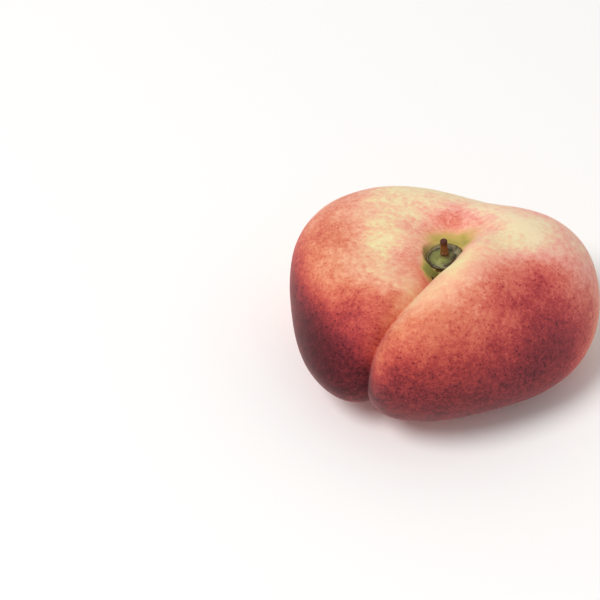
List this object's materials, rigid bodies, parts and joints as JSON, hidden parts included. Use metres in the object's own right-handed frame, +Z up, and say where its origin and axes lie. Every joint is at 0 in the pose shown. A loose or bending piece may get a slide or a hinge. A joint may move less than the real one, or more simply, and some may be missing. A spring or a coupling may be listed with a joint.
{
  "type": "flat peach",
  "caption": "Whole ripe flat peach with a squashed two-lobed body, a deep suture and a stalk cavity holding the green stalk base and a short woody stub.",
  "frame": {"origin": "under the middle of the fruit's box, on the surface that it rests on", "axes": "+Z up along the stalk, through the fruit's flat thickness; +X along its longest way; the lower end of the suture faces -Y and a little -X"},
  "size_m": [0.0702, 0.0658, 0.0386],
  "materials": {
    "peach_skin": "velvety skin with fine fuzz, cream yellow under a red blush with dark red speckles",
    "stalk_base_green": "green living tissue, satin, with a dark rim",
    "stub_bark": "thin reddish brown bark, matte, darker at the tip"
  },
  "bodies": {
    "root": {"fruit": "peach_skin", "stalk_base": "stalk_base_green", "stalk_stub": "stub_bark"}
  },
  "joints": []
}
